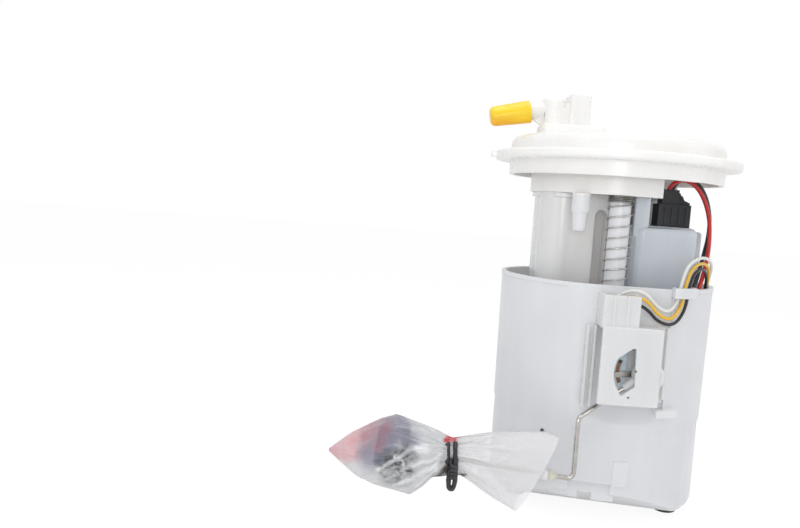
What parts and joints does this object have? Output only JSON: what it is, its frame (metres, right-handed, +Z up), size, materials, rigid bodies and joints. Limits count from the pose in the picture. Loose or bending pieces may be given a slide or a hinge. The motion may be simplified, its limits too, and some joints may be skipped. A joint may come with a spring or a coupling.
{
  "type": "fuel pump module",
  "caption": "In-tank fuel pump module: a flange cover on guide rods over a spring-loaded reservoir cup that holds pump, filter and a hinged level float.",
  "frame": {"origin": "centre of the flange's seat plane, on the axis of the skirt that drops into the tank's hole", "axes": "+Z up, out of the tank; -Y towards the level sender; +X to the pump's side"},
  "size_m": [0.2075, 0.1475, 0.218],
  "materials": {
    "white_moulding": "satin",
    "cup_moulding": "satin",
    "tinned_terminal": "satin",
    "yellow_vinyl": "satin",
    "filter_paper": "matte",
    "grey_acetal": "satin",
    "spring_steel": "satin",
    "plated_steel": "satin",
    "black_moulding": "satin",
    "cast_alloy": "matte",
    "motor_core": "matte",
    "magnet": "matte",
    "black_rubber": "matte",
    "strainer_mesh": "matte",
    "red_insulation": "satin",
    "black_insulation": "satin",
    "yellow_insulation": "satin",
    "white_insulation": "satin",
    "sender_card": "satin",
    "copper_strip": "satin",
    "arm_wire": "satin",
    "float_foam": "matte",
    "clear_film": "gloss"
  },
  "bodies": {
    "head": {"flange_cover": "white_moulding", "connector_terminals": "tinned_terminal", "filter_lid": "white_moulding", "filter_canister": "white_moulding", "filter_element": "filter_paper", "front_guide_rod": "grey_acetal", "rear_guide_rod": "grey_acetal", "front_spring": "spring_steel", "pump_holder": "white_moulding", "pump_case": "plated_steel", "pump_end_cap": "black_moulding", "pump_inlet_cover": "cast_alloy", "pump_partition": "cast_alloy", "pump_magnets": "magnet", "pump_cushion": "black_rubber", "inlet_strainer": "strainer_mesh", "pressure_regulator": "plated_steel", "regulator_clip": "spring_steel", "pump_plug": "black_moulding", "red_lead": "red_insulation", "black_lead": "black_insulation", "yellow_lead": "yellow_insulation", "sender_black_lead": "black_insulation", "white_lead": "white_insulation"},
    "reservoir": {"reservoir_cup": "cup_moulding", "cup_feet": "black_rubber", "jet_pump": "grey_acetal", "inlet_valve": "black_rubber", "sender_housing": "white_moulding", "resistor_card": "sender_card", "contact_strips": "copper_strip"},
    "float_arm": {"float_arm_wire": "arm_wire", "arm_hub": "white_moulding", "wiper": "copper_strip", "arm_bead": "black_rubber", "float": "float_foam", "float_bag": "clear_film", "bag_tie": "black_moulding"},
    "outlet_cap": {"outlet_cap": "yellow_vinyl"},
    "pump_rotor": {"pump_armature": "motor_core", "pump_impeller": "black_moulding"},
    "check_valve": {"check_valve": "grey_acetal"}
  },
  "joints": [
    {"name": "reservoir_slide", "type": "slide", "parent": "head", "child": "reservoir", "axis": [0, 0, 1], "range_m": [0, 0.022], "stiffness_N_per_m": 600, "springref_m": -0.03, "deforming": ["front_spring", "yellow_lead", "sender_black_lead", "white_lead"]},
    {"name": "float_arm_hinge", "type": "hinge", "parent": "reservoir", "child": "float_arm", "pos_m": [0.0084, -0.0608, -0.1028], "axis": [0, 1, 0], "range_deg": [0, 60]},
    {"name": "cap_slide", "type": "slide", "parent": "head", "child": "outlet_cap", "axis": [-0.9799, 0, -0.1994], "range_m": [0, 0.03]},
    {"name": "pump_spin", "type": "hinge", "parent": "head", "child": "pump_rotor", "pos_m": [0.0215, -0.015, -0.08], "axis": [0, 0, 1], "continuous": true},
    {"name": "check_valve_lift", "type": "slide", "parent": "head", "child": "check_valve", "axis": [0, 0, 1], "range_m": [0, 0.0015], "stiffness_N_per_m": 20, "springref_m": -0.01}
  ]
}
